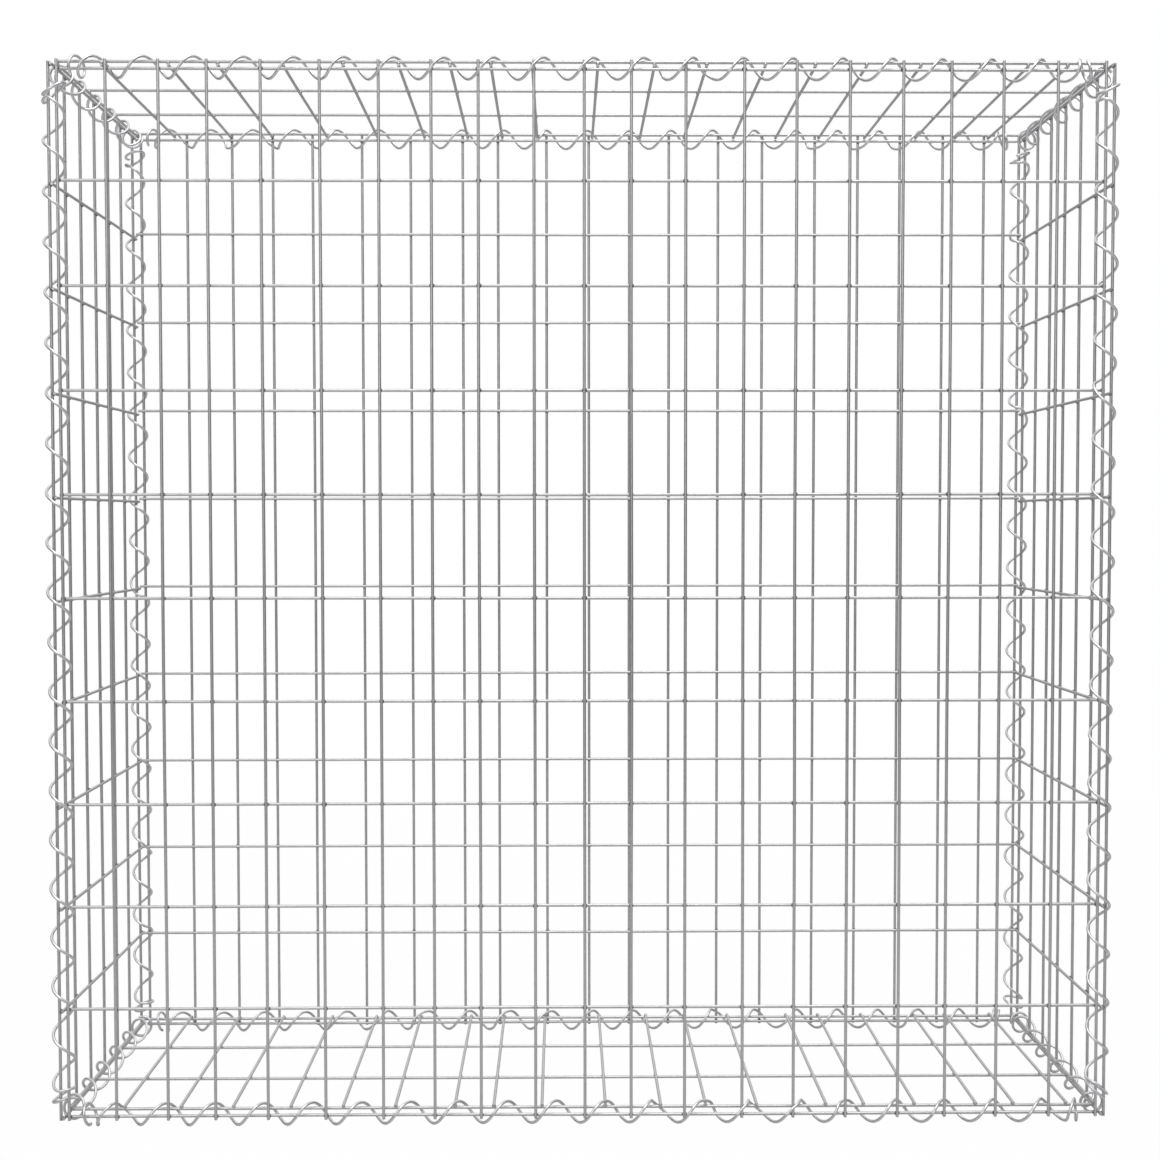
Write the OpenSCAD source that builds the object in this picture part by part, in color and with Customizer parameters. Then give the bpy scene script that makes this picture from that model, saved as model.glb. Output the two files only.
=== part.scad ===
// Gabion basket: six welded mesh panels of galvanised wire, laced along all
// twelve edges with spiral binders. Millimetres, +Z up, +Y away from the front.

/* [Basket] */
// Width between the end uprights of the front panel
basket_w = 1000; // [700:50:1200]
// Depth from the front uprights to the back uprights
basket_d = 297; // [247:10:397]
// Height from the bottom row to the top row of the front panel
basket_h = 1009.4; // [700:10:1200]

/* [Mesh] */
// Diameter of the mesh wire
wire_d = 3; // [2:0.1:3.2]
// Wanted spacing of the close wires
close_pitch = 50; // [45:1:60]
// Wanted spacing of the wide wires
wide_pitch = 100; // [90:1:120]
// Height of the first and the last cell of the front and back panels
edge_cell = 105.6; // [95:0.1:110]
// How far the wide wires run past the end uprights
row_stub = 2.5; // [2:0.1:2.7]
// How far the uprights run below the bottom row
foot_stub = 3; // [2.5:0.1:3.1]
// How far the side uprights run below their bottom row
side_foot = 2.2; // [1.8:0.1:2.3]
// How far the uprights run above the top row
head_stub = 8.5; // [5:0.1:8.8]
// Sliver left at each weld between two crossing wires
weld_gap = 0.04; // [0.02:0.01:0.1]

/* [Fit of the panels] */
// How far the side uprights stand outside the end uprights
side_out = 7.5; // [7.2:0.1:7.8]
// How much lower the top row of a side panel sits
side_drop = 5.4; // [4.5:0.1:6]
// Height of the outer lid wires above the front panel's top row
lid_rise = 6.7; // [6.6:0.1:7]
// Height of the outer base wires above the front panel's bottom row
base_rise = 5.5; // [5:0.1:5.7]
// Front lid wire behind the front uprights
lid_inset = 3.6; // [3.5:0.1:4]
// Front base wire behind the front uprights
base_inset = 8; // [7:0.1:8.5]

/* [Spiral binders] */
// Diameter of the binder wire
binder_wire = 2.8; // [2:0.1:3]
// Radius of a spiral at the middle of its wire
binder_r = 10.5; // [10.3:0.1:11]
// Advance of a spiral in one turn
binder_pitch = 47.7; // [44:0.1:52]
// Advance of the two long back spirals, which were wound a little closer
back_pitch = 47.1; // [44:0.1:52]
// Advance of the spirals along the depth
depth_pitch = 50.3; // [46:0.1:54]
// Advance of the left top spiral, which is stretched more
stretched_pitch = 53; // [48:0.1:54]
// Advance of the turn that closes each end
closing_pitch = 4.5; // [4:0.1:6]
// Bare length at the ends of the spirals along the width
width_clear = 13; // [12.5:0.5:20]
// Bare length at the ends of the spirals along the depth
depth_clear = 15; // [14.5:0.5:20]
// Bare length at the ends of the upright spirals
height_clear = 15; // [14:0.5:20]
// Distance from wire middle to wire middle where a spiral crosses a mesh wire
cross_clear = 3.75; // [3.6:0.05:4.2]

/* [Hidden] */

// Facets: a wire of the mesh is round, a spiral is swept in short straight steps
wire_fn = 16;
steps_per_turn = 7;
wire_sides = 4;

// Angle round its own middle at which each spiral starts
front_top_start = 132;
front_bottom_start = 82;
back_top_start = 119;
back_bottom_start = 108;
left_top_start = 330;
left_bottom_start = 338;
right_top_start = 66;
right_bottom_start = 346;
front_left_start = 54;
front_right_start = 60;
back_left_start = 67;
back_right_start = 337;
// How much nearer to the top row the upright spirals end
upright_reach = 4;

// How far each close wire stands off its even place, read from the photograph
front_drift = [0, -4, -4, -8, -7, -1, 5, 5, 0, 3, 1, -4, -2, 4, 4, 5, 6, 2, 2, 4, 0];
back_drift = [3, 5, 6, 2, -3, 3, 8, 17, 7, 12, 10, 6, 1, 7, 7, 17, 16, 14, 13, 10, 0];
lid_drift = [0, -8, 5, 2, 14, 21, 24, 23, 12, 12, 14, 18, 18, 24, 22, 21, 23, 31, 26, 14, 0];
base_drift = [0, 2, 7, 8, 14, 15, 16, 24, 12, 9, 21, 25, 19, 19, 37, 24, 24, 34, 21, 23, 0];
// Where the four long wires of the lid and of the base lie, as shares of the depth between the outer two
lid_shares = [0, 0.359, 0.698, 1];
base_shares = [0, 0.297, 0.642, 1];

half_w = basket_w / 2;
close_count = round(basket_w / close_pitch);
close_step = basket_w / close_count;
wide_count = round((basket_h - 2 * edge_cell) / wide_pitch);
row_step = (basket_h - 2 * edge_cell) / wide_count;
side_count = round(basket_d / close_pitch);
// The side panels are cut a little longer than the depth, and their edge cells a little lower
side_first = -1.4;
side_last = basket_d + 1.6;
side_step = (side_last - side_first) / side_count;
side_h = basket_h - side_drop;
side_edge_cell = edge_cell - 0.8;
side_row_step = (side_h - 2 * side_edge_cell) / wide_count;
weld = wire_d + weld_gap;
// The steps of a turn lie half inside and half outside its true radius
turn_r = binder_r / (0.5 + 0.5 * cos(180 / steps_per_turn));
ground_z = turn_r + binder_wire / 2 * cos(180 / wire_sides);

// Heights and depths, from the bottom row and the front uprights
lid_z = basket_h + lid_rise;
lid_depth_z = lid_z - weld;
base_z = base_rise;
base_depth_z = base_z + weld;
lid_y0 = lid_inset;
lid_y1 = basket_d - lid_inset;
base_y0 = base_inset;
base_y1 = basket_d - lid_inset;
side_x = half_w + side_out;
side_row_x = side_x - weld;
// Where the depth wires start behind the front uprights, and end before the back ones
lid_wire_inset = wire_d / 2 + 0.6;
base_wire_inset = wire_d + 1.5;

function drift(list, i, n) = i >= n || i >= len(list) ? 0 : list[i] * close_step / 50;
function close_places(list) = [for (i = [0 : close_count]) -half_w + i * close_step + drift(list, i, close_count)];
function row_places(cell, step) = concat([0], [for (i = [0 : wide_count]) cell + i * step],
                                         [2 * cell + wide_count * step]);
function share_places(shares, a, b) = [for (s = shares) a + s * (b - a)];

front_x = close_places(front_drift);
back_x = close_places(back_drift);
lid_x = close_places(lid_drift);
base_x = close_places(base_drift);
front_z = row_places(edge_cell, row_step);
side_z = row_places(side_edge_cell, side_row_step);
side_y = [for (i = [0 : side_count]) side_first + i * side_step];
lid_y = share_places(lid_shares, lid_y0, lid_y1);
base_y = share_places(base_shares, base_y0, base_y1);

module rod(a, b, d) {
  v = b - a;
  l = norm(v);
  translate(a) rotate([0, acos(v[2] / l), atan2(v[1], v[0])]) cylinder(h = l, d = d, $fn = wire_fn);
}

// A standing panel of the front or the back: uprights outside, rows inside
module wall(xs, y, row_y) {
  for (x = xs) rod([x, y, -foot_stub], [x, y, basket_h + head_stub], wire_d);
  for (z = front_z) rod([-half_w - row_stub, row_y, z], [half_w + row_stub, row_y, z], wire_d);
}

module side(s) {
  for (y = side_y) rod([s * side_x, y, -side_foot], [s * side_x, y, side_h + head_stub], wire_d);
  for (z = side_z)
    rod([s * side_row_x, side_first - row_stub, z], [s * side_row_x, side_last + row_stub, z], wire_d);
}

// A lying panel: the long wires outside, the close depth wires towards the stones
module flat_mesh(xs, ys, z, depth_z, y_start, y_end) {
  for (y = ys) rod([-half_w - row_stub, y, z], [half_w + row_stub, y, z], wire_d);
  for (x = xs) rod([x, y_start, depth_z], [x, y_end, depth_z], wire_d);
}

// Along its own axis a spiral meets two sets of crossing wires. Each set is [angle, places, room].
// Where a turn would run into a wire, it is pushed to the nearer side of that wire.
function near(list, s) = let (d = [for (p = list) s - p], m = min([for (e = d) abs(e)]))
  [for (e = d) if (abs(e) == m) e][0];
function push(d, room) = abs(d) >= room ? 0 : (d < 0 ? -1 : 1) * (room - abs(d));
// A wire that lies off the spiral's middle is met at a flatter slope, so it needs more room,
// and a turn bends round it, which takes a little more again
bend_room = 4.4;
function room(off) = bend_room * pow(off / binder_r, 2)
  + cross_clear / sin(atan(2 * PI * binder_r / binder_pitch * sqrt(1 - pow(off / binder_r, 2))));
function wrap(a) = a - 360 * floor(a / 360);

function advance(t, turns, pitch) =
  t < 1 ? closing_pitch * t
  : t > turns - 1 ? closing_pitch + pitch * (turns - 2) + closing_pitch * (t - turns + 1)
  : closing_pitch + pitch * (t - 1);

function knots(sets, start, begin, turns, pitch) =
  [for (k = [-1 : turns + 1]) for (c = sets)
    let (t = k + wrap(c[0] - start) / 360,
         s = begin + advance(t, turns, pitch))
    [t, t < 1 || t > turns - 1 ? 0 : push(near(c[1], s), c[2])]];

// Pushes are blended from one crossing to the next
function blend(ks, t) =
  let (lo = [for (k = ks) if (k[0] <= t) k], hi = [for (k = ks) if (k[0] > t) k])
  len(lo) == 0 || len(hi) == 0 ? 0
  : let (a = lo[len(lo) - 1], b = hi[0], w = (t - a[0]) / max(b[0] - a[0], 0.001))
    a[1] + (b[1] - a[1]) * w;

function sorted(ks) = len(ks) < 2 ? ks
  : ks[0][0] <= ks[1][0] ? ks : [for (i = [0 : 2 : len(ks) - 2]) each [ks[i + 1], ks[i]]];

function spiral_path(sets, start, begin, end, wanted) =
  let (whole = (end - begin - 2 * closing_pitch) / wanted,
       steps = round(whole * steps_per_turn) + 2 * steps_per_turn,
       turns = steps / steps_per_turn,
       pitch = (end - begin - 2 * closing_pitch) / (turns - 2),
       ks = sorted(knots(sets, start, begin, turns, pitch)))
  [for (i = [0 : steps])
    let (t = i / steps_per_turn, a = start + 360 * t)
    [turn_r * cos(a), -turn_r * sin(a), begin + advance(t, turns, pitch) + blend(ks, t)]];

function unit(v) = v / norm(v);

// A wire swept along the points: square rings joined into one closed skin
module swept(pts) {
  n = len(pts);
  rings = [for (i = [0 : n - 1])
    let (t = unit(pts[min(i + 1, n - 1)] - pts[max(i - 1, 0)]),
         out = unit([pts[i][0], pts[i][1], 0]),
         u = unit(out - t * (out * t)),
         v = cross(t, u))
    [for (j = [0 : wire_sides - 1])
      let (a = 360 * (j + 0.5) / wire_sides)
      pts[i] + binder_wire / 2 * (cos(a) * u + sin(a) * v)]];
  points = [for (r = rings) each r];
  skin = [for (i = [0 : n - 2]) for (j = [0 : wire_sides - 1])
    let (a = i * wire_sides + j, b = i * wire_sides + (j + 1) % wire_sides)
    each [[a, a + wire_sides, b + wire_sides], [a, b + wire_sides, b]]];
  caps = [[for (j = [0 : wire_sides - 1]) j],
          [for (j = [wire_sides - 1 : -1 : 0]) (n - 1) * wire_sides + j]];
  polyhedron(points, concat(skin, caps), convexity = 10);
}

// The angle at which the turns meet a crossing wire: across (x fixed) or level (y fixed)
function angle_x(x, side) = side < 0 ? acos(x / binder_r) : 360 - acos(x / binder_r);
function angle_y(y, side) = side > 0 ? -asin(y / binder_r) : 180 + asin(y / binder_r);
function across(x, side, places) = [angle_x(x, side), places, room(x)];
function level(y, side, places) = [angle_y(y, side), places, room(y)];

module along_width(y, z, start, wanted, sets) {
  multmatrix([[0, 0, 1, 0], [1, 0, 0, y], [0, 1, 0, z], [0, 0, 0, 1]])
    swept(spiral_path(sets, start, -half_w + width_clear, half_w - width_clear, wanted));
}

module along_depth(x, z, start, wanted, sets) {
  multmatrix([[0, 1, 0, x], [0, 0, 1, 0], [1, 0, 0, z], [0, 0, 0, 1]])
    swept(spiral_path(sets, start, depth_clear, basket_d - depth_clear, wanted));
}

module upright(x, y, start, sets) {
  translate([x, y, 0])
    swept(spiral_path(sets, start, height_clear, basket_h - height_clear + upright_reach, binder_pitch));
}

// Middles of the spirals, from the front uprights and the bottom row
front_top_y = lid_inset;
front_bottom_y = 4;
back_top_y = basket_d - lid_inset;
back_bottom_y = basket_d - 4;
top_z = basket_h + 1.5;
bottom_z = 3.1;
corner_mid_x = half_w + 2.5;
side_mid_x = half_w + 4.4;
side_top_z = side_h + 4.4;
side_bottom_z = 3.1;
corner_front_y = 0.5;
corner_back_y = basket_d - 0.5;

module spiral_front_top_shape() along_width(front_top_y, top_z, front_top_start, binder_pitch,
  [across(-front_top_y, -1, front_x), level(lid_depth_z - top_z, 1, lid_x)]);
module spiral_front_bottom_shape() along_width(front_bottom_y, bottom_z, front_bottom_start, binder_pitch,
  [across(-front_bottom_y, 1, front_x), level(base_depth_z - bottom_z, 1, base_x)]);
module spiral_back_top_shape() along_width(back_top_y, top_z, back_top_start, back_pitch,
  [across(basket_d - back_top_y, -1, back_x), level(lid_depth_z - top_z, -1, lid_x)]);
module spiral_back_bottom_shape() along_width(back_bottom_y, bottom_z, back_bottom_start, back_pitch,
  [across(basket_d - back_bottom_y, 1, back_x), level(base_depth_z - bottom_z, -1, base_x)]);

// The depth spirals: local x is up, local y is to the right
module side_top_shape(s, start, wanted) along_depth(s * side_mid_x, side_top_z, start, wanted,
  [level(s * (side_x - side_mid_x), -1, side_y), across(lid_z - side_top_z, s > 0 ? -1 : 1, lid_y)]);
module side_bottom_shape(s, start) along_depth(s * side_mid_x, side_bottom_z, start, depth_pitch,
  [level(s * (side_x - side_mid_x), 1, side_y), across(base_z - side_bottom_z, s > 0 ? -1 : 1, base_y)]);

// The upright spirals: rows of the wall run inwards, depth wires of the side run along Y
module corner_shape(s, y, row_y, inward, start) upright(s * corner_mid_x, y, start,
  [level(row_y - y, -s, front_z), across(s * (side_row_x - corner_mid_x), inward, side_z)]);

module placed() translate([0, -basket_d / 2, ground_z - bottom_z]) children();

module front_panel() color([0.72, 0.72, 0.73]) placed() wall(front_x, 0, weld);
module back_panel() color([0.72, 0.72, 0.73]) placed() wall(back_x, basket_d, basket_d - weld);
module left_panel() color([0.68, 0.68, 0.69]) placed() side(-1);
module right_panel() color([0.68, 0.68, 0.69]) placed() side(1);
module lid_panel() color([0.7, 0.7, 0.71]) placed()
  flat_mesh(lid_x, lid_y, lid_z, lid_depth_z, lid_wire_inset, basket_d - lid_wire_inset);
module base_panel() color([0.7, 0.7, 0.71]) placed()
  flat_mesh(base_x, base_y, base_z, base_depth_z, base_wire_inset, basket_d - base_wire_inset);
module spiral_front_top() color([0.82, 0.82, 0.83]) placed() spiral_front_top_shape();
module spiral_front_bottom() color([0.82, 0.82, 0.83]) placed() spiral_front_bottom_shape();
module spiral_front_left() color([0.82, 0.82, 0.83]) placed()
  corner_shape(-1, corner_front_y, weld, 1, front_left_start);
module spiral_front_right() color([0.82, 0.82, 0.83]) placed()
  corner_shape(1, corner_front_y, weld, 1, front_right_start);
module spiral_back_top() color([0.82, 0.82, 0.83]) placed() spiral_back_top_shape();
module spiral_back_bottom() color([0.82, 0.82, 0.83]) placed() spiral_back_bottom_shape();
module spiral_back_left() color([0.82, 0.82, 0.83]) placed()
  corner_shape(-1, corner_back_y, basket_d - weld, -1, back_left_start);
module spiral_back_right() color([0.82, 0.82, 0.83]) placed()
  corner_shape(1, corner_back_y, basket_d - weld, -1, back_right_start);
module spiral_left_top() color([0.82, 0.82, 0.83]) placed()
  side_top_shape(-1, left_top_start, stretched_pitch);
module spiral_left_bottom() color([0.82, 0.82, 0.83]) placed()
  side_bottom_shape(-1, left_bottom_start);
module spiral_right_top() color([0.82, 0.82, 0.83]) placed()
  side_top_shape(1, right_top_start, depth_pitch);
module spiral_right_bottom() color([0.82, 0.82, 0.83]) placed()
  side_bottom_shape(1, right_bottom_start);

front_panel();
back_panel();
left_panel();
right_panel();
lid_panel();
base_panel();
spiral_front_top();
spiral_front_bottom();
spiral_front_left();
spiral_front_right();
spiral_back_top();
spiral_back_bottom();
spiral_back_left();
spiral_back_right();
spiral_left_top();
spiral_left_bottom();
spiral_right_top();
spiral_right_bottom();
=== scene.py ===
import bpy
import bmesh
import math
import random
from mathutils import Matrix, Vector


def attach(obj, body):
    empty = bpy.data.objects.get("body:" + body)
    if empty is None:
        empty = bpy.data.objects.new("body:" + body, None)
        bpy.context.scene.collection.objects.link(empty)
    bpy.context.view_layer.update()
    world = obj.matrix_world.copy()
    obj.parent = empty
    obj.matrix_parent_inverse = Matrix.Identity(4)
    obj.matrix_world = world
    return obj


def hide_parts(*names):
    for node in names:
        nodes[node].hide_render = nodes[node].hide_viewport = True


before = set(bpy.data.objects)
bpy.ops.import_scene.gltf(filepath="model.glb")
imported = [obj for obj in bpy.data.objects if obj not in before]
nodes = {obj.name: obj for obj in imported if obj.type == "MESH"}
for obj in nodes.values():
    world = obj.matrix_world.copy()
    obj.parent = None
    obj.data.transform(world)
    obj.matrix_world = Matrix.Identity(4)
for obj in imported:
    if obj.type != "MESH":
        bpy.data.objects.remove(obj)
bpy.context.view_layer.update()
mm = 0.001

panelNames = ["front_panel", "back_panel", "left_panel", "right_panel", "lid_panel", "base_panel"]

# the welded mesh: round wire, a hair of bow in each length, zinc pooled at the welds
meshWire = {
    "radius": 1.5 * mm,
    "sides": 14,
    "step": 24 * mm,        # how often a wire may change direction
    "bow": 0.5 * mm,        # how far a long wire wanders off its line
    "bowLength": 0.6,       # shorter wires than this wander less
    "bowWaves": (0.6, 2.4),  # how many half waves a wire wanders in
    "endChamfer": 0.25 * mm,
    "weldRadius": 2.35 * mm,
    "weldDepth": 1.9 * mm,
    "flatWeld": 1.85 * mm,  # the lid and the base show almost no zinc at their welds
    "weldSpread": (0.9, 1.15),
    "beadSegments": 10,
    "beadBands": 6,
}
shadeRing = 0.5 * mm       # how far past a chamfer its soft shading may reach

# the spiral binders that lace the twelve edges
binder = {
    "radius": 10.0 * mm,   # to the middle of the wire, the mean of the faceted CAD coil
    "wire": 1.42 * mm,
    "sides": 12,
    "perTurn": 36,
    "closing": 4.5 * mm,   # advance of the turn that closes each end
    "clear": 3.7 * mm,     # middle to middle, past a crossing wire
    "sway": 0.35 * mm,     # hand-wound unevenness
    "swayWaves": (0.5, 3),  # how fast it comes and goes
    "slowSway": (0.31, 0.27),  # share of that pace across the coil's two directions
    "swell": 0.5,          # share of it in the coil's own radius
    "calmEnd": 2,          # turns over which it grows from each end
    "blendTurn": 0.35,     # share of a turn in which the closing turn opens to the full pitch
    "steps": 7,            # the CAD coil has this many straight steps a turn
    "give": 0.13,          # share of a turn over which a pushed coil springs back
    "glancing": 3.2 * mm,  # more room past a wire that only grazes the coil
    "rim": 0.05,           # least steepness counted for such a wire
    "calmTurn": 0.9,       # share of the closing turn that isn't pushed
    "leanEnd": 1.35,       # turns from its end at which a coil stops leaning
    "leanFade": 0.35,      # turns over which the lean dies away
    "endChamfer": 0.2 * mm,
}

# each binder: its direction, middle of the coil across it (mm), first angle, where it starts and ends,
# and its pitch
cadLift = 8.94             # bottom row of the front panel above the ground
binderPlaces = {
    "spiral_front_top": ("x", (3.6, 1010.9), 132, (-487, 487), 47.7),
    "spiral_front_bottom": ("x", (4, 3.1), 82, (-487, 487), 47.7),
    "spiral_back_top": ("x", (293.4, 1010.9), 119, (-487, 487), 47.1),
    "spiral_back_bottom": ("x", (293, 3.1), 108, (-487, 487), 47.1),
    "spiral_left_top": ("y", (1008.4, -504.4), 330, (15, 282), 53),
    "spiral_left_bottom": ("y", (3.1, -504.4), 338, (15, 282), 50.3),
    "spiral_right_top": ("y", (1008.4, 504.4), 300, (15, 282), 50.3),
    "spiral_right_bottom": ("y", (3.1, 504.4), 50, (15, 282), 50.3),
    "spiral_front_left": ("z", (-502.5, 0.5), 54, (15, 998.4), 47.7),
    "spiral_front_right": ("z", (502.5, 0.5), 60, (15, 998.4), 47.7),
    "spiral_back_left": ("z", (-502.5, 296.5), 67, (15, 998.4), 47.7),
    "spiral_back_right": ("z", (502.5, 296.5), 337, (15, 998.4), 47.7),
}
originShift = Vector((0, -148.5, cadLift))

# how the closing turns lean: at the start and at the end, across the coil's two directions (mm)
closingLean = {
    "spiral_front_top": ((3.5, 0), (1, -3)),
    "spiral_front_bottom": ((1, -3), (3.5, 0)),
    "spiral_back_top": ((3, 1), (1, -3)),
    "spiral_back_bottom": ((1, -3), (3, 1)),
    "spiral_left_top": ((2, 2), (2, 2)),
    "spiral_left_bottom": ((2, -2), (2, 2)),
    "spiral_right_top": ((2, 2), (-2, 2)),
    "spiral_right_bottom": ((-2, 2), (2, 2)),
    "spiral_front_left": ((5, 0), (7, 2)),
    "spiral_front_right": ((-7, 1), (5.5, 2)),
    "spiral_back_left": ((3, 1), (4, -2)),
    "spiral_back_right": ((-3, 2), (4, 0)),
}

# how far a coil stands off that middle at its start and at its end, across its two directions (mm)
binderDrift = {
    "spiral_front_top": ((0, 0.4), (0, -1.7)),
    "spiral_front_bottom": ((0, -1.1), (0, -1.1)),
    "spiral_left_top": ((-1.5, 2.8), (-1.5, 2.8)),
    "spiral_left_bottom": ((-0.7, 3), (-0.7, 3)),
    "spiral_right_top": ((-1.2, -1.2), (-1.2, -1.2)),
    "spiral_front_left": ((-2.3, 0), (-0.3, 0)),
    "spiral_front_right": ((-1.6, 0), (-0.8, 0)),
    "spiral_back_left": ((-1.2, 0), (-1.3, 0)),
    "spiral_back_right": ((-0.6, 0), (-1.6, 0)),
}
noDrift = ((0, 0), (0, 0))


# a straight rod of the CAD panel, read back as its two ends
def rodsOf(node):
    bm = bmesh.new()
    bm.from_mesh(node.data)
    bmesh.ops.remove_doubles(bm, verts=bm.verts, dist=1e-6)
    seen = set()
    rods = []
    for first in bm.verts:
        if first.index in seen:
            continue
        island = []
        todo = [first]
        seen.add(first.index)
        while todo:
            v = todo.pop()
            island.append(v.co.copy())
            for e in v.link_edges:
                w = e.other_vert(v)
                if w.index not in seen:
                    seen.add(w.index)
                    todo.append(w)
        low = Vector([min(p[k] for p in island) for k in range(3)])
        high = Vector([max(p[k] for p in island) for k in range(3)])
        along = max(range(3), key=lambda k: high[k] - low[k])
        middle = (low + high) / 2
        a = middle.copy()
        b = middle.copy()
        a[along] = low[along]
        b[along] = high[along]
        rods.append((along, a, b))
    bm.free()
    return rods


# the lid binders have pulled the top wire of each side up under the lid, as the photo shows,
# and one lid wire left of the middle stands further left than its CAD rod
sidePull = {"row": 8.5 * mm, "heads": 2.8 * mm, "near": 1 * mm}
lidStray = {"from": -45 * mm, "to": -30 * mm, "move": -10.5 * mm}


def pullUp(rods, cfg):
    top = max(a.z for along, a, b in rods if along == 1)
    for along, a, b in rods:
        if along == 1 and a.z > top - cfg["near"]:
            a.z += cfg["row"]
            b.z += cfg["row"]
        if along == 2:
            b.z += cfg["heads"]


def moveStray(rods, cfg):
    for along, a, b in rods:
        if along == 1 and cfg["from"] < a.x < cfg["to"]:
            a.x += cfg["move"]
            b.x += cfg["move"]


# wires and welds are gathered here, then turned into one mesh
def emptyPile():
    return {"points": [], "faces": [], "smooth": [], "skin": []}


# a round wire swept along points, with softened cut ends
def drawWire(pile, points, radius, sides, chamfer):
    count = len(points)
    tangents = [(points[min(i + 1, count - 1)] - points[max(i - 1, 0)]).normalized() for i in range(count)]
    circle = [(math.cos(2 * math.pi * j / sides), math.sin(2 * math.pi * j / sides)) for j in range(sides)]
    side = tangents[0].orthogonal().normalized()
    first = len(pile["points"])
    # the ring just past each chamfer keeps its soft shading off the straight wire
    steps = ((0, radius - chamfer), (chamfer, radius), (chamfer + shadeRing, radius))
    stops = [(points[0] + tangents[0] * far, tangents[0], r) for far, r in steps]
    stops += [(points[i], tangents[i], radius) for i in range(1, count - 1)]
    stops += [(points[-1] - tangents[-1] * far, tangents[-1], r) for far, r in reversed(steps)]
    for place, t, r in stops:
        side = (side - t * side.dot(t)).normalized()
        other = t.cross(side)
        pile["points"] += [place + side * (r * c) + other * (r * s) for c, s in circle]
    for i in range(len(stops) - 1):
        at = first + i * sides
        for j in range(sides):
            k = (j + 1) % sides
            pile["faces"].append((at + j, at + k, at + sides + k, at + sides + j))
            pile["smooth"].append(True)
            pile["skin"].append(0)
    last = first + (len(stops) - 1) * sides
    pile["faces"].append(tuple(first + j for j in reversed(range(sides))))
    pile["faces"].append(tuple(last + j for j in range(sides)))
    pile["smooth"] += [False, False]
    pile["skin"] += [0, 0]


def roundBead(segments, bands):
    points = [Vector((0, 0, 1))]
    for i in range(1, bands):
        a = math.pi * i / bands
        for j in range(segments):
            b = 2 * math.pi * j / segments
            points.append(Vector((math.sin(a) * math.cos(b), math.sin(a) * math.sin(b), math.cos(a))))
    points.append(Vector((0, 0, -1)))
    end = len(points) - 1
    faces = []
    for j in range(segments):
        k = (j + 1) % segments
        faces.append((0, 1 + j, 1 + k))
        for i in range(bands - 2):
            at = 1 + i * segments
            faces.append((at + j, at + segments + j, at + segments + k, at + k))
        faces.append((1 + (bands - 2) * segments + j, end, 1 + (bands - 2) * segments + k))
    return points, faces


bead = roundBead(meshWire["beadSegments"], meshWire["beadBands"])


# a little pool of zinc and upset metal where two wires are welded
def drawWeld(pile, place, thin, radius, depth):
    points, faces = bead
    first = len(pile["points"])
    u = (thin + 1) % 3
    v = (thin + 2) % 3
    for p in points:
        q = place.copy()
        q[u] += p.x * radius
        q[v] += p.y * radius
        q[thin] += p.z * depth
        pile["points"].append(q)
    for face in faces:
        pile["faces"].append(tuple(first + i for i in face))
        pile["smooth"].append(True)
        pile["skin"].append(1)


def wander(along, a, b, rng, cfg):
    length = (b - a).length
    steps = max(2, int(length / cfg["step"]))
    across = [k for k in range(3) if k != along]
    size = cfg["bow"] * min(1.0, length / cfg["bowLength"])
    waves = []
    for k in across:
        waves.append((k, rng.uniform(-1, 1) * size, rng.uniform(*cfg["bowWaves"]), rng.uniform(0, 6.28)))
    points = []
    for i in range(steps + 1):
        t = i / steps
        p = a.lerp(b, t)
        for k, amp, freq, start in waves:
            p[k] += amp * math.sin(math.pi * t) * math.sin(freq * math.pi * t + start)
        points.append(p)
    return points


def finishPiece(name, pile, skins, replaced):
    mesh = bpy.data.meshes.new(name)
    mesh.from_pydata(pile["points"], [], pile["faces"])
    mesh.polygons.foreach_set("use_smooth", pile["smooth"])
    mesh.polygons.foreach_set("material_index", pile["skin"])
    obj = bpy.data.objects.new(name, mesh)
    bpy.context.collection.objects.link(obj)
    for material in skins:
        mesh.materials.append(material)
    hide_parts(replaced)
    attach(obj, "root")
    return obj


def makePanel(name, rods, material, flat, cfg):
    rng = random.Random("panel " + name)
    pile = emptyPile()
    for along, a, b in rods:
        points = wander(along, a, b, rng, cfg)
        drawWire(pile, points, cfg["radius"], cfg["sides"], cfg["endChamfer"])
    thin = min(range(3), key=lambda k: max(r[1][k] for r in rods) - min(r[1][k] for r in rods))
    first = rods[0][0]
    close = [r for r in rods if r[0] == first]
    wide = [r for r in rods if r[0] != first]
    for ra in close:
        for rb in wide:
            place = Vector((0, 0, 0))
            place[ra[0]] = rb[1][ra[0]]
            place[rb[0]] = ra[1][rb[0]]
            place[thin] = (ra[1][thin] + rb[1][thin]) / 2
            grow = rng.uniform(*cfg["weldSpread"])
            radius = cfg["flatWeld"] if flat else cfg["weldRadius"]
            drawWeld(pile, place, thin, radius * grow, cfg["weldDepth"])
    # front, back and side welds take the dark weld colour, which is partly painted contact shade
    skins = [material, material if flat else weldZincAndShade]
    return finishPiece(name + "_mesh", pile, skins, name)


def ramp(w):
    w = min(1.0, max(0.0, w))
    return w * w * (3 - 2 * w)


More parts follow.
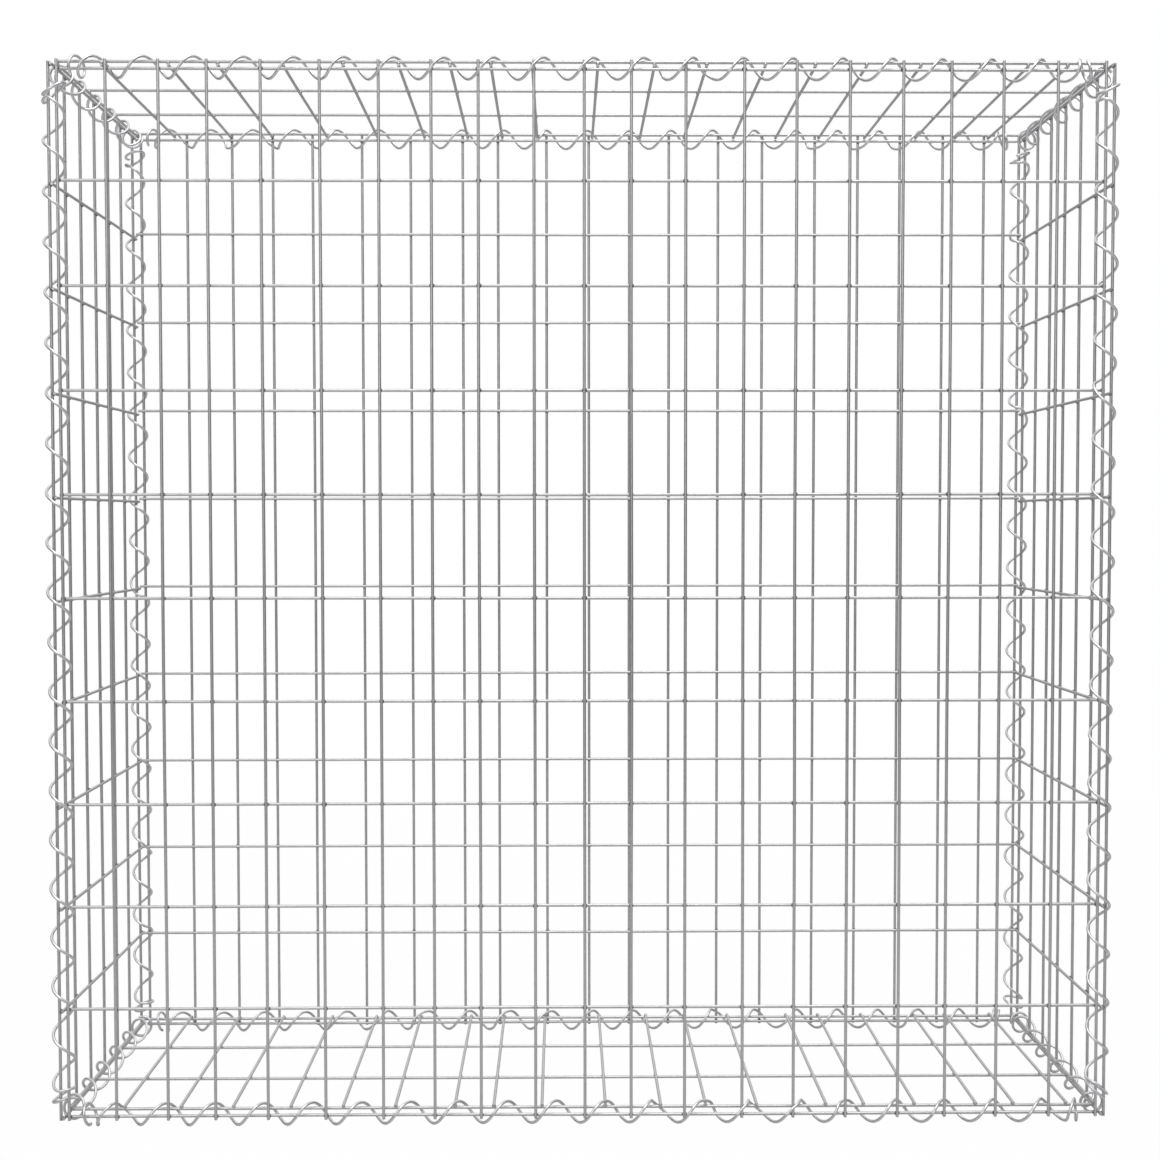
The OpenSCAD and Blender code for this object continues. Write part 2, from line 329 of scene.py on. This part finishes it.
# where a turn would run into a mesh wire, the springy coil gives way to the nearer side
def binderPath(place, lean, drift, rods, cfg, rng):
    direction, middle, start, span, wanted = place
    axis = "xyz".index(direction)
    u = (axis + 1) % 3
    v = (axis + 2) % 3
    centre = Vector((0, 0, 0))
    centre[u] = middle[0]
    centre[v] = middle[1]
    centre = (centre + originShift) * mm
    shift = originShift[axis] * mm
    begin = span[0] * mm + shift
    end = span[1] * mm + shift
    r = cfg["radius"]
    inner = end - begin - 2 * cfg["closing"]
    steps = cfg["steps"]
    turns = round(inner / (wanted * mm) * steps) / steps + 2
    pitch = inner / (turns - 2)
    blendTurn = cfg["blendTurn"]

    def slope(t):
        near = min(t, turns - t)
        w = ramp((near - 1 + blendTurn) / (2 * blendTurn))
        return cfg["closing"] * (1 - w) + pitch * w

    fine = cfg["perTurn"]
    total = int(round(turns * fine))
    places = [0.0]
    for i in range(total):
        places.append(places[-1] + slope((i + 0.5) / fine) / fine)
    scale = (end - begin) / places[-1]
    places = [begin + p * scale for p in places]

    def placeAt(t):
        x = min(max(t * fine, 0), total)
        i = min(int(x), total - 1)
        return places[i] + (places[i + 1] - places[i]) * (x - i)

    pushes = []
    for along, a, b in rods:
        if along == axis:
            continue
        if not begin < a[axis] < end:
            continue
        p0 = Vector((a[u] - centre[u], a[v] - centre[v]))
        p1 = Vector((b[u] - centre[u], b[v] - centre[v]))
        d = p1 - p0
        qa = d.dot(d)
        qb = 2 * p0.dot(d)
        qc = p0.dot(p0) - r * r
        root = qb * qb - 4 * qa * qc
        if root < 0:
            continue
        for s in (-1, 1):
            w = (-qb + s * math.sqrt(root)) / (2 * qa)
            if not 0 <= w <= 1:
                continue
            hit = p0 + d * w
            angle = math.degrees(math.atan2(-hit.y, hit.x))
            off = abs(p0.x * d.y - p0.y * d.x) / math.sqrt(qa)
            steep = math.atan(2 * math.pi * r / pitch * math.sqrt(max(cfg["rim"], 1 - (off / r) ** 2)))
            room = cfg["clear"] / math.sin(steep) + cfg["glancing"] * (off / r) ** 2
            t = ((angle - start) % 360) / 360
            while t < turns:
                gap = placeAt(t) - a[axis]
                if abs(gap) < room and cfg["calmTurn"] < t < turns - cfg["calmTurn"]:
                    pushes.append((t, math.copysign(room - abs(gap), gap)))
                t += 1
    # pace and start of three waves, and a spare draw that keeps the later ones in order
    sway = [(rng.uniform(*cfg["swayWaves"]), rng.uniform(0, 6.28), rng.uniform(0.4, 1)) for _ in range(3)]
    slowU, slowV = cfg["slowSway"]

    # a leaning turn only reaches inwards, so the ends stay where they are
    def leaning(t, a):
        first = ramp((cfg["leanEnd"] - t) / cfg["leanFade"])
        last = ramp((cfg["leanEnd"] - (turns - t)) / cfg["leanFade"])
        reachA = math.hypot(*lean[0]) + lean[0][0] * math.cos(a) - lean[0][1] * math.sin(a)
        reachB = math.hypot(*lean[1]) - lean[1][0] * math.cos(a) + lean[1][1] * math.sin(a)
        return (first * reachA - last * reachB) * mm

    points = []
    for i in range(total + 1):
        t = i / fine
        far = t / turns
        a = math.radians(start + 360 * t)
        s = places[i] + leaning(t, a)
        for at, push in pushes:
            s += push * math.exp(-((t - at) / cfg["give"]) ** 2)
        near = min(t, turns - t)
        loose = cfg["sway"] * min(1.0, near / cfg["calmEnd"])
        dr = loose * cfg["swell"] * math.sin(sway[0][0] * t + sway[0][1])
        du = loose * math.sin(slowU * sway[1][0] * t + sway[1][1])
        dv = loose * math.sin(slowV * sway[2][0] * t + sway[2][1])
        p = Vector((0, 0, 0))
        p[axis] = s
        driftU = (drift[0][0] * (1 - far) + drift[1][0] * far) * mm
        driftV = (drift[0][1] * (1 - far) + drift[1][1] * far) * mm
        p[u] = centre[u] + driftU + (r + dr) * math.cos(a) + du
        p[v] = centre[v] + driftV - (r + dr) * math.sin(a) + dv
        points.append(p)
    return points


def makeBinder(name, place, lean, drift, rods, material, cfg):
    rng = random.Random("binder " + name)
    points = binderPath(place, lean, drift, rods, cfg, rng)
    pile = emptyPile()
    drawWire(pile, points, cfg["wire"], cfg["sides"], cfg["endChamfer"])
    return finishPiece(name + "_coil", pile, [material], name)


# bare hot-dip zinc: how fine its grain, clouds and spangle are, and how deep the grain is
zincLook = {
    "cloudScale": 38,
    "cloudDetail": 4,
    "grainScale": 1400,
    "grainDetail": 3,
    "spangleScale": 420,
    "lightShare": 0.35,     # least share of the light zinc
    "grainStrength": 0.25,
    "grainDepth": 0.2 * mm,
}


# fine grain, slow clouds of lighter oxide and dull specks
def zincGroup(cfg):
    group = bpy.data.node_groups.new("zincSkin", "ShaderNodeTree")
    face = group.interface
    for label, value in (("Cloud", 0.12), ("Speck", 0.2), ("Dull", 0.08)):
        socket = face.new_socket(label, in_out="INPUT", socket_type="NodeSocketFloat")
        socket.default_value = value
    tone = face.new_socket("Light Zinc", in_out="INPUT", socket_type="NodeSocketColor")
    tone.default_value = (0.7, 0.7, 0.71, 1)
    dark = face.new_socket("Dark Zinc", in_out="INPUT", socket_type="NodeSocketColor")
    dark.default_value = (0.5, 0.5, 0.51, 1)
    rough = face.new_socket("Base Roughness", in_out="INPUT", socket_type="NodeSocketFloat")
    rough.default_value = 0.4
    face.new_socket("Color", in_out="OUTPUT", socket_type="NodeSocketColor")
    face.new_socket("Roughness", in_out="OUTPUT", socket_type="NodeSocketFloat")
    face.new_socket("Height", in_out="OUTPUT", socket_type="NodeSocketFloat")
    n = group.nodes
    link = group.links.new
    source = n.new("NodeGroupInput")
    sink = n.new("NodeGroupOutput")
    where = n.new("ShaderNodeTexCoord")
    cloud = n.new("ShaderNodeTexNoise")
    cloud.inputs["Scale"].default_value = cfg["cloudScale"]
    cloud.inputs["Detail"].default_value = cfg["cloudDetail"]
    link(where.outputs["Object"], cloud.inputs["Vector"])
    grain = n.new("ShaderNodeTexNoise")
    grain.inputs["Scale"].default_value = cfg["grainScale"]
    grain.inputs["Detail"].default_value = cfg["grainDetail"]
    link(where.outputs["Object"], grain.inputs["Vector"])
    spangle = n.new("ShaderNodeTexVoronoi")
    spangle.inputs["Scale"].default_value = cfg["spangleScale"]
    link(where.outputs["Object"], spangle.inputs["Vector"])
    # clouds and spangle decide between the two zincs
    cloudPart = n.new("ShaderNodeMath")
    cloudPart.operation = "MULTIPLY_ADD"
    link(cloud.outputs["Fac"], cloudPart.inputs[0])
    link(source.outputs["Cloud"], cloudPart.inputs[1])
    cloudPart.inputs[2].default_value = cfg["lightShare"]
    spangleTone = n.new("ShaderNodeSeparateColor")
    link(spangle.outputs["Color"], spangleTone.inputs["Color"])
    speckPart = n.new("ShaderNodeMath")
    speckPart.operation = "MULTIPLY_ADD"
    link(spangleTone.outputs["Red"], speckPart.inputs[0])
    link(source.outputs["Speck"], speckPart.inputs[1])
    link(cloudPart.outputs[0], speckPart.inputs[2])
    blend = n.new("ShaderNodeMix")
    blend.data_type = "RGBA"
    link(speckPart.outputs[0], blend.inputs["Factor"])
    link(source.outputs["Dark Zinc"], blend.inputs["A"])
    link(source.outputs["Light Zinc"], blend.inputs["B"])
    link(blend.outputs["Result"], sink.inputs["Color"])
    dull = n.new("ShaderNodeMath")
    dull.operation = "MULTIPLY_ADD"
    link(grain.outputs["Fac"], dull.inputs[0])
    link(source.outputs["Dull"], dull.inputs[1])
    link(source.outputs["Base Roughness"], dull.inputs[2])
    link(dull.outputs[0], sink.inputs["Roughness"])
    link(grain.outputs["Fac"], sink.inputs["Height"])
    return group


zincSkin = zincGroup(zincLook)


def zincMaterial(name, light, dark, roughness, cloud, speck, metallic):
    material = bpy.data.materials.new(name)
    material.use_nodes = True
    n = material.node_tree.nodes
    link = material.node_tree.links.new
    shader = n["Principled BSDF"]
    skin = n.new("ShaderNodeGroup")
    skin.node_tree = zincSkin
    skin.inputs["Light Zinc"].default_value = light + (1,)
    skin.inputs["Dark Zinc"].default_value = dark + (1,)
    skin.inputs["Base Roughness"].default_value = roughness
    skin.inputs["Cloud"].default_value = cloud
    skin.inputs["Speck"].default_value = speck
    bump = n.new("ShaderNodeBump")
    bump.inputs["Strength"].default_value = zincLook["grainStrength"]
    bump.inputs["Distance"].default_value = zincLook["grainDepth"]
    link(skin.outputs["Color"], shader.inputs["Base Color"])
    link(skin.outputs["Roughness"], shader.inputs["Roughness"])
    link(skin.outputs["Height"], bump.inputs["Height"])
    link(bump.outputs["Normal"], shader.inputs["Normal"])
    shader.inputs["Metallic"].default_value = metallic
    return material


# each zinc: its light tone, dark tone, roughness, clouds, specks and metallic
meshZinc = zincMaterial("meshZinc", (0.7, 0.7, 0.705), (0.52, 0.52, 0.525), 0.36, 0.3, 0.3, 1.0)
# the side panels and the lid are the same zinc as the rest, painted darker as painted shade
shadedSideZinc = zincMaterial("shadedSideZinc", (0.64, 0.64, 0.65), (0.48, 0.48, 0.485), 0.38, 0.3, 0.3, 1.0)
binderZinc = zincMaterial("binderZinc", (0.84, 0.83, 0.85), (0.66, 0.65, 0.67), 0.24, 0.25, 0.25, 1.0)
# the weld beads are far darker than the wire: burnt weld plus painted contact shade where the wires cross
weldZincAndShade = zincMaterial("weldZincAndShade", (0.28, 0.28, 0.28), (0.15, 0.15, 0.15), 0.5, 0.4, 0.4, 1.0)
panelZinc = {
    "front_panel": meshZinc,
    "back_panel": meshZinc,
    "left_panel": shadedSideZinc,
    "right_panel": shadedSideZinc,
    "lid_panel": shadedSideZinc,
    "base_panel": meshZinc,
}
flatPanels = ["lid_panel", "base_panel"]

rodsByPanel = {name: rodsOf(nodes[name]) for name in panelNames}
for name in ("left_panel", "right_panel"):
    pullUp(rodsByPanel[name], sidePull)
moveStray(rodsByPanel["lid_panel"], lidStray)
allRods = [rod for name in panelNames for rod in rodsByPanel[name]]
for name in panelNames:
    makePanel(name, rodsByPanel[name], panelZinc[name], name in flatPanels, meshWire)
print("panels strung:", {name: len(rodsByPanel[name]) for name in panelNames})

for name, place in binderPlaces.items():
    drift = binderDrift.get(name, noDrift)
    makeBinder(name, place, closingLean[name], drift, allRods, binderZinc, binder)
print("binders wound:", len(binderPlaces))

# the studio: a floor almost pure white to the camera, and how bright each part of the light tent is
stageLook = {
    "floorSize": 1.7,           # half its width
    "floorDrop": 0.5 * mm,
    "floorRoughness": 0.9,
    "floorWhite": 0.985,
    "floorTone": (0.57, 0.57, 0.57, 1),
    "horizon": 0.215,
    "sides": 0.12,
    "sky": 0.9,
    "backdrop": 1.1,
    "riseFrom": (0.12, 0.62),   # heights between which the tent brightens to the sky
    "flankFrom": (0.25, 0.95),  # how far aside it darkens
    "deepFrom": (0.8, 0.96),    # how far behind the backdrop begins
    "liftFrom": (0.04, 0.2),    # and how high
}


def whiteFloor(cfg):
    mesh = bpy.data.meshes.new("floor")
    h = cfg["floorSize"]
    mesh.from_pydata([(-h, -h, 0), (h, -h, 0), (h, h, 0), (-h, h, 0)], [], [(0, 1, 2, 3)])
    floor = bpy.data.objects.new("floor", mesh)
    bpy.context.collection.objects.link(floor)
    floor.location.z = -cfg["floorDrop"]
    material = bpy.data.materials.new("paleFloor")
    material.use_nodes = True
    n = material.node_tree.nodes
    link = material.node_tree.links.new
    shader = n["Principled BSDF"]
    shader.inputs["Base Color"].default_value = cfg["floorTone"]
    shader.inputs["Roughness"].default_value = cfg["floorRoughness"]
    shader.inputs["Specular IOR Level"].default_value = 0
    glow = n.new("ShaderNodeEmission")
    glow.inputs["Strength"].default_value = 1
    path = n.new("ShaderNodeLightPath")
    share = n.new("ShaderNodeMath")
    share.operation = "MULTIPLY"
    share.inputs[1].default_value = cfg["floorWhite"]
    mix = n.new("ShaderNodeMixShader")
    link(path.outputs["Is Camera Ray"], share.inputs[0])
    link(share.outputs[0], mix.inputs[0])
    link(shader.outputs[0], mix.inputs[1])
    link(glow.outputs[0], mix.inputs[2])
    link(mix.outputs[0], n["Material Output"].inputs["Surface"])
    mesh.materials.append(material)


def softStep(n, link, value, span, ends):
    step = n.new("ShaderNodeMapRange")
    step.interpolation_type = "SMOOTHSTEP"
    step.inputs["From Min"].default_value = span[0]
    step.inputs["From Max"].default_value = span[1]
    step.inputs["To Min"].default_value = ends[0]
    step.inputs["To Max"].default_value = ends[1]
    link(value, step.inputs["Value"])
    return step.outputs["Result"]


def mixTowards(n, link, share, base, strength):
    mix = n.new("ShaderNodeMix")
    mix.data_type = "FLOAT"
    link(share, mix.inputs["Factor"])
    link(base, mix.inputs["A"])
    mix.inputs["B"].default_value = strength
    return mix.outputs["Result"]


# a tent of light: bright overhead and below, greyer round the horizon, darkest to the sides
def lightTent(cfg):
    world = bpy.data.worlds.new("lightTent")
    bpy.context.scene.world = world
    world.use_nodes = True
    n = world.node_tree.nodes
    link = world.node_tree.links.new
    n.clear()
    out = n.new("ShaderNodeOutputWorld")
    where = n.new("ShaderNodeTexCoord")
    split = n.new("ShaderNodeSeparateXYZ")
    link(where.outputs["Generated"], split.inputs[0])
    high = n.new("ShaderNodeMath")
    high.operation = "ABSOLUTE"
    link(split.outputs["Z"], high.inputs[0])
    rise = softStep(n, link, high.outputs[0], cfg["riseFrom"], (0, 1))
    aside = n.new("ShaderNodeMath")
    aside.operation = "ABSOLUTE"
    link(split.outputs["X"], aside.inputs[0])
    flank = softStep(n, link, aside.outputs[0], cfg["flankFrom"], (cfg["horizon"], cfg["sides"]))
    level = mixTowards(n, link, rise, flank, cfg["sky"])
    # the pale backdrop behind the basket, which its base wires mirror
    deep = softStep(n, link, split.outputs["Y"], cfg["deepFrom"], (0, 1))
    lift = softStep(n, link, split.outputs["Z"], cfg["liftFrom"], (0, 1))
    behind = n.new("ShaderNodeMath")
    behind.operation = "MULTIPLY"
    link(deep, behind.inputs[0])
    link(lift, behind.inputs[1])
    backed = mixTowards(n, link, behind.outputs[0], level, cfg["backdrop"])
    # glossy rays see the tent and not the white: with the white, zinc of these tones came out too light
    path = n.new("ShaderNodeLightPath")
    seen = n.new("ShaderNodeMath")
    seen.operation = "MAXIMUM"
    link(path.outputs["Is Camera Ray"], seen.inputs[0])
    link(path.outputs["Is Transmission Ray"], seen.inputs[1])
    tent = n.new("ShaderNodeBackground")
    link(backed, tent.inputs["Strength"])
    white = n.new("ShaderNodeBackground")
    white.inputs["Strength"].default_value = 1
    white.inputs["Color"].default_value = (1, 1, 1, 1)
    tent.inputs["Color"].default_value = (1, 1, 1, 1)
    mix = n.new("ShaderNodeMixShader")
    link(seen.outputs[0], mix.inputs[0])
    link(tent.outputs[0], mix.inputs[1])
    link(white.outputs[0], mix.inputs[2])
    link(mix.outputs[0], out.inputs["Surface"])


whiteFloor(stageLook)
lightTent(stageLook)

# soft lamp over the basket and a weaker one from the camera's side: place, aim, size and power
lamps = {
    "overhead": ((0.3, -0.9, 2.6), (0, 0, 0.5), 1.6, 18),
    "frontFill": ((-0.9, -2.6, 1.3), (0, 0, 0.5), 1.2, 8),
}
for name, (place, aim, size, power) in lamps.items():
    data = bpy.data.lights.new(name, "AREA")
    data.size = size
    data.energy = power
    lamp = bpy.data.objects.new(name, data)
    bpy.context.collection.objects.link(lamp)
    lamp.location = place
    lamp.rotation_euler = (Vector(aim) - Vector(place)).to_track_quat("-Z", "Y").to_euler()

# camera stood where the photographer stood, a little left of the middle and just above half height
cameraLook = {
    "place": (-0.02015, -1.70476, 0.58794),
    "pitch": -2.094,
    "yaw": -0.614,
    "roll": 0.048,
    "focalPixels": 1617.3,
    "framePixels": 1160,
    "sensorWidth": 36,
    "farthest": 50,
}


def photographer(cfg):
    data = bpy.data.cameras.new("camera")
    data.sensor_width = cfg["sensorWidth"]
    data.lens = cfg["sensorWidth"] * cfg["focalPixels"] / cfg["framePixels"]
    data.clip_end = cfg["farthest"]
    camera = bpy.data.objects.new("camera", data)
    bpy.context.collection.objects.link(camera)
    yaw = Matrix.Rotation(math.radians(cfg["yaw"]), 3, "Z")
    pitch = Matrix.Rotation(math.radians(cfg["pitch"]), 3, "X")
    roll = Matrix.Rotation(math.radians(cfg["roll"]), 3, "Y")
    turn = yaw @ pitch @ roll
    right = turn @ Vector((1, 0, 0))
    ahead = turn @ Vector((0, 1, 0))
    up = turn @ Vector((0, 0, 1))
    pose = Matrix((right, up, -ahead)).transposed().to_4x4()
    pose.translation = Vector(cfg["place"])
    camera.matrix_world = pose
    bpy.context.scene.camera = camera


photographer(cameraLook)
bpy.context.scene.view_settings.view_transform = "Standard"
print("studio set:", len(lamps), "lamps")

print("basket dressed")
